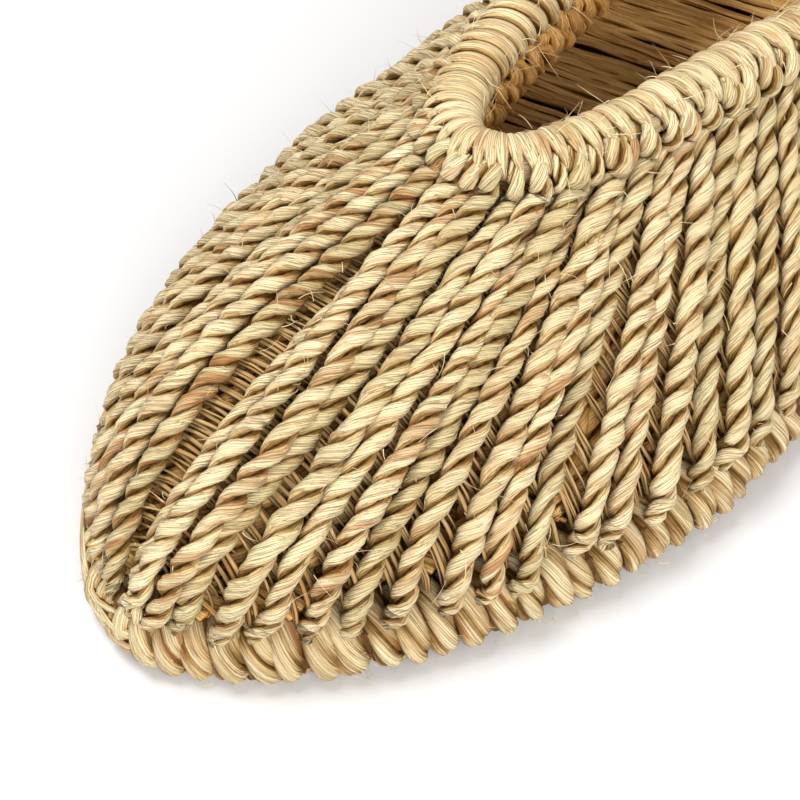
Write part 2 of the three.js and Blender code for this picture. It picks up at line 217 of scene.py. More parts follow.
class ShoeForm:
    """The sole's outline, the collar and the surface of the upper between them."""

    def __init__(self, sizes):
        self.length = sizes.length / MM
        self.ball_width = sizes.ball_width / MM
        self.heel_width = sizes.heel_width / MM
        self.thickness = sizes.sole_thickness / MM
        self.throat_behind = sizes.throat_behind / MM
        self.throat_height = sizes.throat_height / MM
        self.ball_behind = BALL_SHARE * self.length
        self.collar_back = self.length - HEEL_WALL
        self.sole = Loop(self.length, 0.0, self.length, self.sole_half, self.sole_centre)
        self.collar = Loop(self.length, self.throat_behind, self.collar_back,
                           self.collar_half, np.zeros_like)

    def sole_half(self, behind):
        toe = self.ball_width / 2.0 * round_end(behind / self.ball_behind, TOE_POWER)
        heel_start = self.length - HEEL_ROUND
        heel_share = (self.length - behind) / HEEL_ROUND
        heel = self.heel_width / 2.0 * round_end(heel_share, HEEL_POWER)
        share = ease((behind - self.ball_behind) / (heel_start - self.ball_behind))
        waist = mix(self.ball_width / 2.0, self.heel_width / 2.0, share)
        return np.where(behind < self.ball_behind, toe, np.where(behind > heel_start, heel, waist))

    def sole_centre(self, behind):
        share = np.maximum(0.0, 1.0 - behind / self.ball_behind)
        return -TOE_TURN * share * share

    def collar_half(self, behind):
        in_front = behind - self.throat_behind
        throat = THROAT_WIDTH / 2.0 * round_end(in_front / THROAT_ROUND, THROAT_POWER)
        ankle_share = ease((in_front - THROAT_ROUND / 2.0) / (1.5 * THROAT_ROUND))
        ankle = (ANKLE_WIDTH - THROAT_WIDTH) / 2.0 * ankle_share
        back = round_end((self.collar_back - behind) / COLLAR_HEEL_ROUND, HEEL_POWER)
        return (throat + ankle) * back

    def collar_height(self, edge):
        behind = self.length / 2.0 - edge[..., 0]
        share = (behind - self.throat_behind) / (self.collar_back - self.throat_behind)
        risen = HEEL_RISE * ease((share - HEEL_RISE_FROM) / HEEL_RISE_OVER)
        return self.throat_height - SIDE_DIP * ease(share * 2.0) + risen

    def roll_centre(self, share):
        edge = self.collar.at(share)
        middle = edge + ROLL_OUTWARD * ROLL_RADIUS * self.collar.outward(share)
        height = self.collar_height(edge) - ROLL_DOWN * ROLL_RADIUS
        return np.concatenate([middle, height[..., None]], axis=-1)

    def fan_shares(self, around):
        turned = np.mod(np.asarray(around, float), 1.0)
        left = turned <= 0.5
        side_share = np.where(left, turned * 2.0, (1.0 - turned) * 2.0)
        base = side_share ** TOE_CROWDING
        top = base ** FAN_RAKE
        return np.where(left, base / 2.0, 1.0 - base / 2.0), np.where(left, top / 2.0, 1.0 - top / 2.0)

    def upper_controls(self, base, top):
        """The four control points of the curves from these shares of the sole to the collar's."""
        edge = self.sole.at(base)
        foot = edge - WALL_INSET * self.sole.outward(base)
        start = np.concatenate([foot, np.full(foot.shape[:-1] + (1,), self.thickness + CLEARANCE)], axis=-1)
        roll = self.roll_centre(top)
        roll_out = self.collar.outward(top)
        run = start[..., :2] - roll[..., :2]
        run_length = np.linalg.norm(run, axis=-1)
        rise = roll[..., 2] - start[..., 2]
        toe_share = ease(1.0 - (self.length / 2.0 - edge[..., 0]) / self.ball_behind)
        lifted, shouldered, flattened = (
            mix(side, toe, toe_share) for side, toe in zip(SIDE_FULLNESS, TOE_FULLNESS))
        slope = flattened * np.arctan2(rise, run_length)
        across = np.maximum(1.0, np.sum(run * roll_out, axis=-1))
        slope_across = np.arctan2(np.tan(slope) * run_length, across)
        reach = ROLL_RADIUS + 2.0 * CLEARANCE
        end = roll.copy()
        end[..., :2] += (reach * np.cos(slope_across))[..., None] * roll_out
        end[..., 2] -= reach * np.sin(slope_across)
        lift = start.copy()
        lift[..., 2] += lifted * rise
        shoulder = end.copy()
        shoulder[..., :2] += shouldered[..., None] * (start - end)[..., :2]
        shoulder[..., 2] -= shouldered * run_length * np.tan(slope)
        return start, lift, shoulder, end

    def upper_point(self, base, top, up):
        start, lift, shoulder, end = self.upper_controls(base, top)
        up = np.asarray(up, float)[..., None]
        down = 1.0 - up
        return (down ** 3 * start + 3.0 * down ** 2 * up * lift
                + 3.0 * down * up ** 2 * shoulder + up ** 3 * end)

    def upper_outward(self, around, up):
        step = 0.005
        ahead = self.upper_point(*self.fan_shares(around + step), up)
        behind = self.upper_point(*self.fan_shares(around - step), up)
        above = self.upper_point(*self.fan_shares(around), up + 0.02)
        below = self.upper_point(*self.fan_shares(around), up - 0.02)
        return unit(np.cross(ahead - behind, above - below))


# Strands: every cord, wrap, weft and hair is one or more of these

# How far apart strands take their fibres from in the pattern, so that no two look alike
FIBRE_SPREAD = 400.0

# How much the fibres wind round a strand that is spun, and how light the painted shade on its dark side
# stays
FIBRE_SPIN = 0.35
DARK_SIDE = 0.30


class Strand:
    """One length of straw: its path, how its section lies on it, and its own colour.

    The lower sidelit is, the darker the painted shade on a ply's sides. From 1 on, a lone strand has no
    painted shade on its sides.
    """

    def __init__(self, points, outward, broad, thick, tone, chance=None, orbit=0.0, turn=0.0, spin=0.0,
                 sidelit=0.62):
        self.points = np.asarray(points, float)
        self.outward = np.asarray(outward, float)
        self.broad, self.thick, self.orbit, self.turn, self.spin = (
            np.broadcast_to(value, len(points)).astype(float) for value in (broad, thick, orbit, turn, spin))
        self.tone = tone
        self.offset = (0, 0)
        if chance:
            self.offset = tuple(chance.uniform(-FIBRE_SPREAD, FIBRE_SPREAD) for _ in range(2))
        self.sidelit = sidelit


def arc_lengths(points):
    return np.concatenate([[0.0], np.cumsum(np.linalg.norm(np.diff(points, axis=0), axis=1))])


def resample(rows, count):
    """The same path with its points spaced evenly; columns past the third come along."""
    lengths = arc_lengths(rows[:, :3])
    wanted = np.linspace(0.0, lengths[-1], count)
    return np.stack([np.interp(wanted, lengths, column) for column in rows.T], axis=1)


def smooth_path(corners, count):
    """An even path of this many points through a few corners, rounded between them."""
    corners = np.asarray(corners, float)
    padded = np.concatenate([[2 * corners[0] - corners[1]], corners, [2 * corners[-1] - corners[-2]]])
    stretches = []
    share = np.linspace(0.0, 1.0, 9)[:-1, None]
    for index in range(len(corners) - 1):
        a, b, c, d = padded[index:index + 4]
        stretches.append(0.5 * (2 * b + (c - a) * share + (2 * a - 5 * b + 4 * c - d) * share ** 2
                                + (3 * b - a - 3 * c + d) * share ** 3))
    return resample(np.concatenate(stretches + [corners[-1:]]), count)


def mesh_from(bm, name):
    mesh = bpy.data.meshes.new(name)
    bm.to_mesh(mesh)
    bm.free()
    return mesh


def add_object(name, data):
    made = bpy.data.objects.new(name, data)
    bpy.context.scene.collection.objects.link(made)
    return made


def tube_template(sides, rings):
    """A straight tube of unit radius and length with closed ends, cut into rings."""
    bm = bmesh.new()
    bmesh.ops.create_cone(bm, cap_ends=True, segments=sides, radius1=1.0, radius2=1.0, depth=1.0)
    upright = [edge for edge in bm.edges if abs(edge.verts[0].co.z - edge.verts[1].co.z) > 0.5]
    bmesh.ops.subdivide_edges(bm, edges=upright, cuts=rings - 2)
    bmesh.ops.translate(bm, verts=bm.verts, vec=(0.0, 0.0, 0.5))
    return mesh_from(bm, "tube_template")


def strand_surface(strand, ring, angle):
    """Places each template point, named by its ring and its angle, on the strand."""
    tangent = unit(np.gradient(strand.points, axis=0))
    side = unit(np.cross(tangent, strand.outward))
    normal = np.cross(side, tangent)
    turned = strand.turn[ring]
    radial = np.cos(turned)[:, None] * normal[ring] + np.sin(turned)[:, None] * side[ring]
    sideways = -np.sin(turned)[:, None] * normal[ring] + np.cos(turned)[:, None] * side[ring]
    spun = strand.spin[ring]
    across = strand.thick[ring] * np.cos(angle)
    along_side = strand.broad[ring] * np.sin(angle)
    out = across * np.cos(spun) - along_side * np.sin(spun) + strand.orbit[ring]
    aside = across * np.sin(spun) + along_side * np.cos(spun)
    return strand.points[ring] + out[:, None] * radial + aside[:, None] * sideways


def lay_strands(name, strands, sides, material, replaced=()):
    """One piece of all these strands, of equally many points, pressed flat at the floor."""
    strands = list(strands)
    rings = len(strands[0].points)
    template = tube_template(sides, rings)
    count = len(template.vertices)
    shape = np.empty(count * 3)
    template.vertices.foreach_get("co", shape)
    shape = shape.reshape(-1, 3)
    ring = np.rint(shape[:, 2] * (rings - 1)).astype(int)
    angle = np.arctan2(shape[:, 1], shape[:, 0])

    bm = bmesh.new()
    for _ in strands:
        bm.from_mesh(template)
    mesh = mesh_from(bm, name)
    bpy.data.meshes.remove(template)

    places, fibres, tones, seats = [], [], [], []
    for strand in strands:
        places.append(strand_surface(strand, ring, angle))
        along = arc_lengths(strand.points)[ring]
        spin = strand.spin[ring] * FIBRE_SPIN
        fibres.append(np.stack([
            strand.thick[ring] * np.cos(angle + spin) + strand.offset[0],
            strand.broad[ring] * np.sin(angle + spin) + strand.offset[1],
            along + 7.0 * strand.offset[0]], axis=1))
        tones.append(np.broadcast_to(np.asarray(strand.tone, float), (count, 3)))

        # The seat is 1 where a point stands free and 0 down between the strands; it sets the painted shade
        # there, on the sides of plies and on the edges of lone strands
        risen = np.sum((places[-1] - strand.points[ring]) * strand.outward[ring], axis=1)
        risen = risen / np.maximum(strand.orbit[ring] + strand.thick[ring], 0.05)
        front = ease(mix(strand.sidelit, 1.12, risen))
        in_cord = (0.5 + 0.5 * np.cos(angle)) * mix(DARK_SIDE, 1.0, front)
        alone = np.maximum(np.clip((np.cos(angle) - 0.15) / 0.75, 0.0, 1.0), strand.sidelit >= 1.0)
        seats.append(np.where(strand.orbit[ring] > 0.0, in_cord, alone))
    placed = np.concatenate(places)
    placed[:, 2] = np.maximum(placed[:, 2], FLOOR_GAP)
    mesh.vertices.foreach_set("co", (placed * MM).astype(np.float32).ravel())
    for label, kind, key, values in (
            ("fibre", "FLOAT_VECTOR", "vector", np.concatenate(fibres).ravel()),
            ("tone", "FLOAT_VECTOR", "vector", np.concatenate(tones).ravel()),
            ("seat", "FLOAT", "value", np.concatenate(seats))):
        layer = mesh.attributes.new(label, kind, "POINT")
        layer.data.foreach_set(key, values.astype(np.float32))
    mesh.shade_smooth()
    mesh.update()
    finish_piece(add_object(name, mesh), material, replaced)


def finish_piece(piece, material, replaced=()):
    piece.data.materials.append(material)
    if replaced:
        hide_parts(*replaced)
    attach(piece, "root")


# Straw: the colour and relief of its fibres


def add_node(tree, kind, values=(), **settings):
    node = tree.nodes.new(kind)
    for key, value in settings.items():
        setattr(node, key, value)
    for socket, value in dict(values).items():
        node.inputs[socket].default_value = value
    return node


# What light that has bounced from straw to straw does to their colour
WARM_SHADE = (0.58, 0.36, 0.09, 1.0)

# The Mix node's sockets when it mixes colours
MIX_SHARE = 0
MIX_FIRST = 6
MIX_SECOND = 7
MIX_RESULT = 2


def straw_group():
    """Fibres that run along each strand, with flat straws side by side, stains and painted shade between the
    strands.
    """
    found = bpy.data.node_groups.get("Straw fibres")
    if found:
        return found
    group = bpy.data.node_groups.new("Straw fibres", "ShaderNodeTree")
    for way, kind, labels in (
            ("INPUT", "NodeSocketColor", ("Pale", "Tan", "Green", "Rust", "Shade")),
            ("INPUT", "NodeSocketFloat", ("Depth", "Fineness")),
            ("OUTPUT", "NodeSocketColor", ("Color",)),
            ("OUTPUT", "NodeSocketFloat", ("Height", "Roughness"))):
        for label in labels:
            group.interface.new_socket(name=label, in_out=way, socket_type=kind)
    link = group.links.new
    given = add_node(group, "NodeGroupInput")
    result = add_node(group, "NodeGroupOutput")
    fibre, tone, seat = (add_node(group, "ShaderNodeAttribute", attribute_name=label)
                         for label in ("fibre", "tone", "seat"))
    tones = add_node(group, "ShaderNodeSeparateXYZ")
    link(tone.outputs["Vector"], tones.inputs[0])

    def stretched(across, along):
        scaled = add_node(group, "ShaderNodeVectorMath", operation="MULTIPLY")
        scaled.inputs[1].default_value = (across, across, along)
        link(fibre.outputs["Vector"], scaled.inputs[0])
        fine = add_node(group, "ShaderNodeVectorMath", operation="SCALE")
        link(scaled.outputs[0], fine.inputs[0])
        link(given.outputs["Fineness"], fine.inputs["Scale"])
        return fine.outputs[0]

    def mapped(source, low, high, out_low=0.0, out_high=1.0):
        node = add_node(group, "ShaderNodeMapRange",
                        {"From Min": low, "From Max": high, "To Min": out_low, "To Max": out_high})
        link(source, node.inputs["Value"])
        return node.outputs[0]

    def blended(share, first, second):
        node = add_node(group, "ShaderNodeMix", data_type="RGBA")
        for source, socket in ((share, MIX_SHARE), (first, MIX_FIRST), (second, MIX_SECOND)):
            link(source, node.inputs[socket])
        return node.outputs[MIX_RESULT]

    def combined(operation, first, second):
        node = add_node(group, "ShaderNodeMath", operation=operation)
        for source, socket in ((first, node.inputs[0]), (second, node.inputs[1])):
            if isinstance(source, float):
                socket.default_value = source
            else:
                link(source, socket)
        return node.outputs[0]

    # Flat straws lie side by side in a strand, each with its own shade
    straws, seams = (add_node(group, "ShaderNodeTexVoronoi", {"Scale": 1.0, "Randomness": 0.9},
                              feature=feature, voronoi_dimensions="3D")
                     for feature in ("F1", "DISTANCE_TO_EDGE"))
    for texture in (straws, seams):
        link(stretched(1.7, 0.05), texture.inputs["Vector"])
    straw_shade = add_node(group, "ShaderNodeSeparateColor")
    link(straws.outputs["Color"], straw_shade.inputs[0])

    # Fibres are finer again, and run nearly the whole length
    fibres = add_node(group, "ShaderNodeTexNoise", {"Scale": 1.0, "Detail": 4.0, "Roughness": 0.6})
    link(stretched(4.5, 0.14), fibres.inputs["Vector"])
    patches = add_node(group, "ShaderNodeTexNoise", {"Scale": 1.0, "Detail": 2.0})
    link(stretched(0.45, 0.09), patches.inputs["Vector"])

    streak = mapped(fibres.outputs[0], 0.36, 0.64)
    patch = mapped(patches.outputs[0], 0.35, 0.68)
    varied = combined("MULTIPLY", streak, 0.56)
    for source, weight in ((straw_shade.outputs[0], 0.26), (patch, 0.34), (tones.outputs[0], 0.40)):
        varied = combined("ADD", varied, combined("MULTIPLY", source, weight))
    colour = blended(mapped(varied, 0.38, 1.38), given.outputs["Pale"], given.outputs["Tan"])
    greened = combined("MULTIPLY", tones.outputs[1], mapped(straw_shade.outputs[1], 0.0, 1.0, 0.5, 1.0))
    colour = blended(greened, colour, given.outputs["Green"])
    rusted = combined("MULTIPLY", tones.outputs[2], mapped(patches.outputs[0], 0.50, 0.64))
    rare = combined("MULTIPLY", mapped(straw_shade.outputs[2], 0.90, 0.96), 0.55)
    colour = blended(combined("MAXIMUM", rusted, rare), colour, given.outputs["Rust"])

    # Painted shade: the colour warms and darkens towards the deep shade colour down between the strands and
    # wherever a material is given depth, and is darker along the thin seams between the flat straws
    seam = mapped(seams.outputs["Distance"], 0.0, 0.08)
    unshaded = combined("MULTIPLY", mapped(seat.outputs["Fac"], 0.02, 0.70),
                       mapped(seam, 0.0, 1.0, 0.62, 1.0))
    painted_shade = combined("MAXIMUM", combined("SUBTRACT", 1.0, unshaded), given.outputs["Depth"])
    warmed = add_node(group, "ShaderNodeMix", {MIX_SECOND: WARM_SHADE}, data_type="RGBA",
                      blend_type="MULTIPLY")
    link(painted_shade, warmed.inputs[MIX_SHARE])
    link(colour, warmed.inputs[MIX_FIRST])
    shaded = mapped(painted_shade, 0.55, 1.0)
    colour = blended(shaded, warmed.outputs[MIX_RESULT], given.outputs["Shade"])
    link(colour, result.inputs["Color"])

    height = combined("ADD", combined("MULTIPLY", fibres.outputs[0], 0.55),
                      combined("MULTIPLY", seam, 0.45))
    link(height, result.inputs["Height"])
    link(mapped(streak, 0.0, 1.0, 0.40, 0.66), result.inputs["Roughness"])
    return group


SPECULAR = 0.22


# A material's depth lays painted shade over all of it
def straw_material(name, colours, relief, depth=0.0, fineness=1.0, inside=False):
    material = bpy.data.materials.new(name)
    material.use_nodes = True
    tree = material.node_tree
    shader = tree.nodes["Principled BSDF"]
    shader.inputs["Specular IOR Level"].default_value = SPECULAR
    straw = add_node(tree, "ShaderNodeGroup")
    straw.node_tree = straw_group()
    # Inside pieces take the golden and brown colours, which carry painted shade
    pale, tan = (colours.golden, colours.brown) if inside else (colours.pale, colours.tan)
    for label, colour in (("Pale", pale), ("Tan", tan), ("Green", colours.green),
                          ("Rust", colours.rust), ("Shade", colours.shade)):
        straw.inputs[label].default_value = colour
    straw.inputs["Depth"].default_value = depth
    straw.inputs["Fineness"].default_value = fineness
    bump = add_node(tree, "ShaderNodeBump", {"Strength": 1.0, "Distance": relief * MM})
    for source, label, target, socket in (
            (straw, "Color", shader, "Base Color"), (straw, "Roughness", shader, "Roughness"),
            (straw, "Height", bump, "Height"), (bump, "Normal", shader, "Normal")):
        tree.links.new(source.outputs[label], target.inputs[socket])
    return material


def plain_material(name, colour, roughness):
    material = bpy.data.materials.new(name)
    material.use_nodes = True
    shader = material.node_tree.nodes["Principled BSDF"]
    shader.inputs["Base Color"].default_value = colour
    shader.inputs["Roughness"].default_value = roughness
    return material


def random_tone(chance, darkness, greenness, stain=0.0, stained=1.0):
    """A strand's own shade, greenness and stain, where this share of the strands is stained."""
    if stained < 1.0 and chance.random() >= stained:
        stain = 0.0
    green = greenness * max(0.0, chance.normal(-0.15, 0.45))
    return (darkness * chance.random(), min(1.0, green), stain)


# The fan of twisted cords

# A ply's half width and half thickness, and how far its middle is from the cord's, in cord radii
PLY_BROAD = 0.72
PLY_THICK = 0.52
PLY_ORBIT = 0.46


def turns_along(lengths, pitch, first_turn, tighter_over, tighter_pitch):
    """How far the plies have turned at each point, tighter where the cord meets the sole."""
    local = mix(tighter_pitch, pitch, ease(lengths / tighter_over))
    steps = np.diff(lengths) * 2.0 * math.pi / ((local[1:] + local[:-1]) / 2.0)
    return first_turn + np.concatenate([[0.0], np.cumsum(steps)])


def two_ply(path, outward, diameter, pitch, chance, tone, room=1.0, tighter_over=9.0, tighter_pitch=6.0):
    """Two plies turned round each other along a path, thinner where the room is less than 1."""
    lengths = arc_lengths(path)
    turn = turns_along(lengths, pitch, chance.uniform(0.0, 2.0 * math.pi), tighter_over, tighter_pitch)
    turn = turn + 0.35 * np.sin(lengths * chance.uniform(0.15, 0.4) + chance.uniform(0.0, 6.3))
    swell = 1.0 + 0.08 * np.sin(lengths * chance.uniform(0.3, 0.7) + chance.uniform(0.0, 6.3))
    swell = swell * mix(0.70, 1.0, ease(lengths / 3.0)) * mix(0.5, 1.0, ease((lengths[-1] - lengths) / 3.0))
    swell = swell * np.clip(room, 0.6, 1.0)
    radius = diameter / 2.0
    plies = []
    for ply in (0.0, math.pi):
        own = swell * chance.uniform(0.92, 1.10)
        own = own * (1.0 + 0.12 * np.sin(lengths * chance.uniform(0.9, 1.7) + chance.uniform(0.0, 6.3)))
        ply_tone = (min(1.0, tone[0] + chance.uniform(-0.15, 0.15)), tone[1], tone[2])
        plies.append(Strand(path, outward, PLY_BROAD * radius * own, PLY_THICK * radius * own, ply_tone,
                            chance, orbit=PLY_ORBIT * radius * swell, turn=turn + ply,
                            spin=0.22 * np.sin(lengths * 0.9 + ply)))
    return plies


# The cords part at the toe, as they do on the shoe, and leave the ribs in view
PARTING_AROUND = 0.984
PARTING_REACH = 0.045
PARTING_WIDTH = 0.0095

# Cords leave the throat square to it and only then bend to the toe
BEND_AROUND = 0.036
BEND_WIDTH = 0.011


def parted(around, up):
    """How far a cord strays from a straight way: away from the parting, and round the throat."""
    beside = np.mod(around - PARTING_AROUND + 0.5, 1.0) - 0.5
    pushed = np.sign(beside) * math.exp(-(beside / PARTING_REACH) ** 2)
    middle = PARTING_WIDTH * pushed * np.sin(math.pi * np.clip(up, 0.0, 1.0)) ** 2
    side = np.mod(around + 0.5, 1.0) - 0.5
    off = abs(side) / BEND_AROUND
    bent = math.copysign(off * math.exp(1.0 - off), side)
    return middle + BEND_WIDTH * bent * np.sin(math.pi * np.clip(up, 0.0, 1.0) ** 1.8)


def room_between(form, around, spread, up, path):
    """How far apart two neighbouring cords lie at each height, measured square to them."""
    beside = []
    for side in (-0.5, 0.5):
        place = around + side * spread
        base, _ = form.fan_shares(place + parted(place, up))
        _, top = form.fan_shares(np.full(len(up), place))
        beside.append(form.upper_point(base, top, up))
    return np.linalg.norm(np.cross(beside[1] - beside[0], unit(np.gradient(path, axis=0))), axis=1)


def around_roll(away, angle):
    """The direction at this angle round the collar's core, counted up from level and outwards."""
    return np.array([math.cos(angle) * away[0], math.cos(angle) * away[1], math.sin(angle)])


# A cord climbs the collar's outer side and dives under the wraps' tips at this angle and radius
TUCK_ANGLE = 56.0
TUCK_RADIUS = 2.3


def climb_roll(form, share, last):
    """The cord's way up the outer side of the collar, from its last point on the upper."""
    centre = form.roll_centre(share)
    away = form.collar.outward(share)
    start = last[:3] - centre
    met = math.atan2(start[2], float(np.dot(start[:2], away)))
    rows = []
    for along in (0.4, 0.75, 1.0):
        direction = around_roll(away, mix(met, math.radians(TUCK_ANGLE), along))
        radius = mix(float(np.linalg.norm(start)), TUCK_RADIUS, along ** 2)
        rows.append([*(centre + direction * radius), *direction, last[6]])
    return rows


CORD_RINGS = 72

# Where the fan is crowded every second cord, then every other second one, sinks under the rest
SINK_UNDER = 2.3

# The way a cord ends on the sole's shoulder: shift towards the toe, out from its edge, rise
PLAIN_FOOT = ((1.8, -2.7, -0.9), (1.0, -2.7, 1.1))
KNOBBED_FOOT = ((3.4, -2.0, 0.1), (1.7, -2.1, 0.9))


def cord_path(form, around, spread, depth, feet, size, reserve, chance):
    """A cord from its foot over the sole's shoulder up to the collar, and its room at each point.

    The reserve is how many cords' room it has once the cords that sink before it are gone.
    """
    up = np.linspace(0.06, 1.0, CORD_RINGS)
    bow, wave = chance.normal(0.0, 0.0010), chance.normal(0.0, 0.0006)
    sway = bow * np.sin(math.pi * up) + wave * np.sin(2.0 * math.pi * up)
    moved = around + sway + parted(around, up)
    base, _ = form.fan_shares(moved)
    _, top = form.fan_shares(np.full(CORD_RINGS, around))
    points = form.upper_point(base, top, up)
    outward = form.upper_outward(moved, up)
    ripple = depth * np.sin(math.pi * np.clip(up * 1.1, 0.0, 1.0))
    ripple = ripple + chance.normal(0.0, 0.2) * np.sin(math.pi * up)
    room = reserve * room_between(form, around, spread, up, points) / size
    sunk = SINK_UNDER * ease((0.95 - room) / 0.45)
    points = points + outward * (0.35 + ripple - sunk)[:, None]
    upper = np.concatenate([points, outward, room[:, None]], axis=1)

    share = float(base[0])
    toeward = -1.0 if share < 0.5 else 1.0
    rows = []
    for shift, out, rise in feet:
        place = share + toeward * (shift + chance.normal(0.0, 0.5)) / form.sole.perimeter
        flat = form.sole.at(place) + (out + chance.normal(0.0, 0.35)) * form.sole.outward(place)
        rows.append([flat[0], flat[1], form.thickness + rise + chance.normal(0.0, 0.4), *upper[0, 3:]])
    lead = smooth_path(np.concatenate([rows, upper[:2]]), 12)[:-1]
    crest = smooth_path(np.concatenate([upper[-2:], climb_roll(form, top[-1], upper[-1])]), 12)[1:]
    whole = resample(np.concatenate([lead, upper[1:-1], crest]), CORD_RINGS)
    return whole[:, :3], unit(whole[:, 3:6]), whole[:, 6]


# Cords with a rust or maroon patch, by their place in the fan, and how strong it is
STAINS = {1: 0.6, 5: 0.7, 7: 0.5, 9: 0.8, 12: 0.5, 16: 0.6, 21: 0.5, 34: 0.6, 46: 0.5, 57: 0.6,
          66: 0.5, 72: 0.6, 76: 0.8, 78: 0.9}

# One cord in so many lies deeper, is greener and darker with painted shade, and one in so many ends in a
# knob
DEEPER_EVERY = 4
KNOB_EVERY = 3


def make_fan(form, sizes, counts):
    """The cords in their order round the shoe, each as its two plies."""
    chance = np.random.default_rng(SEED)
    diameter = sizes.cord_diameter / MM
    pitch = sizes.twist_pitch / MM
    cords = []
    for index in range(counts.cords):
        around = (index + 0.5 + chance.normal(0.0, 0.08)) / counts.cords
        deeper = index % DEEPER_EVERY == 2
        depth = chance.uniform(-1.7, -1.1) if deeper else chance.uniform(0.0, 0.5)
        feet = KNOBBED_FOOT if index % KNOB_EVERY == 1 else PLAIN_FOOT
        size = diameter * chance.uniform(0.93, 1.08)
        reserve = 1 if index % 2 else (2 if deeper else 4)
        path, outward, room = cord_path(form, around, 1.0 / counts.cords, depth, feet, size, reserve, chance)
        shade, green, stain = random_tone(chance, 0.5, 0.6, STAINS.get(index, 0.0))
        # A deeper cord is greener, and darker with painted shade for lying under the others
        if deeper:
            shade, green = shade + 0.3, min(0.8, green + 0.45)
        cords.append(two_ply(path, outward, size, pitch * chance.uniform(0.9, 1.15), chance,
                             (min(1.0, shade), green, stain), 1.06 * room))
    return cords


def behind_wall(form, around, up, inset):
    """Points this far inside the upper's surface, and which way is outwards there."""
    outward = form.upper_outward(around, up)
    return form.upper_point(*form.fan_shares(around), up) - outward * inset, outward


def rib_path(form, x, shares, levels, grids):
    """Where the upper crosses the plane at x, from the left foot edge over to the right."""
    halves = []
    for shares_side, grid in zip((shares, 1.0 - shares), grids):
        met = [index for index in range(len(levels)) if grid[index, 0, 0] >= x >= grid[index, -1, 0]]
        around = [np.interp(x, grid[index, ::-1, 0], shares_side[::-1]) for index in met]
        halves.append((np.array(around), levels[met]))
    (left, left_up), (right, right_up) = halves
    if len(left) < 4 or len(right) < 4:
        return []
    if x > form.collar.at(0.0)[0]:
        return [(np.concatenate([left, right[::-1]]), np.concatenate([left_up, right_up[::-1]]))]
    return halves


RIB_INSET = 2.4


def make_ribs(form, counts):
    """Fine straws that cross the foot under the cords, and others that go round the heel."""
    chance = np.random.default_rng(SEED + 1)
    rings = 26
    even = np.linspace(-1.0, 1.0, rings)
    shares = np.linspace(0.0, 0.5, 150)
    levels = np.linspace(0.02, 0.97, 44)
    grids = []
    for side in (shares, 1.0 - shares):
        base, top = form.fan_shares(side)
        grids.append(np.stack([form.upper_point(base, top, np.full(len(side), up)) for up in levels]))
    reach = form.length / 2.0 - 5.0
    for index in range(counts.ribs):
        x = mix(-reach, reach, (index + chance.random()) / counts.ribs)
        for around, up in rib_path(form, x, shares, levels, grids):
            inset = RIB_INSET + chance.uniform(-0.6, 0.3) + 0.3 * np.sin(up * 40.0 + index)
            points, outward = behind_wall(form, around, up, inset[:, None])
            whole = resample(np.concatenate([points, outward], axis=1), rings)
            whole[:, 0] += chance.normal(0.0, 2.2) * even
            tone = random_tone(chance, 1.0, 0.2, 0.5, 0.12)
            broad = chance.uniform(0.16, 0.42)
            yield Strand(whole[:, :3], unit(whole[:, 3:]), broad, 0.2, tone, chance)
    heel_straws = counts.ribs // 3
    for index in range(heel_straws):
        middle = 0.5 + chance.normal(0.0, 0.05)
        around = np.linspace(middle - chance.uniform(0.03, 0.09), middle + chance.uniform(0.03, 0.09), rings)
        up = (index + chance.random()) / heel_straws + chance.normal(0.0, 0.03) * even
        inset = RIB_INSET + chance.uniform(-0.6, 0.3)
        points, outward = behind_wall(form, around, np.clip(up, 0.02, 0.98), inset)
        tone = random_tone(chance, 1.0, 0.2, 0.5, 0.12)
        broad = chance.uniform(0.2, 0.5)
        yield Strand(resample(points, rings), outward, broad, 0.2, tone, chance)


LINING_INSET = 5.3
INNER_DIAMETER = 4.2
LINING_PITCH = 13.0


def make_lining(form, counts):
    """The inner side of the cords, loosely twisted, seen through the collar."""
    chance = np.random.default_rng(SEED + 2)
    rings = 30
    for index in range(counts.cords):
        around = np.full(rings, (index + chance.normal(0.0, 0.12)) / counts.cords)
        inset = LINING_INSET + chance.uniform(-0.3, 0.3)
        points, outward = behind_wall(form, around, np.linspace(0.07, 0.99, rings), inset)
        tone = random_tone(chance, 0.9, 0.35, 0.6, 0.2)
        yield from two_ply(resample(points, rings), outward, INNER_DIAMETER, LINING_PITCH, chance, tone)


# Lobes there are for each wrap, the pitch of their twist and their way down the wall inside
LOBE_SHARE = 0.6
LOBE_PITCH = 15.0
LOBE_STEPS = (
    {"inward": 1.6, "down": 2.0, "rearward": 0.0},
    {"inward": 2.6, "down": 4.0, "rearward": 2.5},
    {"inward": 2.4, "down": 7.5, "rearward": 7.0},
    {"inward": 0.6, "down": 12.0, "rearward": 14.0},
)


def make_inner_lobes(form, counts):
    """The twisted ends of the cords, tucked in under the collar's inner edge."""
    chance = np.random.default_rng(SEED + 9)
    rings = 16
    lobes = round(counts.wraps * LOBE_SHARE)
    for share in (np.arange(lobes) + 0.5) / lobes:
        rearward = 1.0 if share < 0.5 else -1.0
        corners = []
        for step in LOBE_STEPS:
            place = share + rearward * step["rearward"] / form.collar.perimeter
            out = np.array([*form.collar.outward(place), 0.0])
            spot = form.roll_centre(place) - step["inward"] * out
            corners.append([*(spot - np.array([0.0, 0.0, step["down"]])), *-out])
        path = smooth_path(corners, rings)
        tone = random_tone(chance, 1.0, 0.2, 0.8, 0.3)
        yield from two_ply(path[:, :3], unit(path[:, 3:]), INNER_DIAMETER, LOBE_PITCH, chance, tone)


# The collar: straw wrapped over a rope core


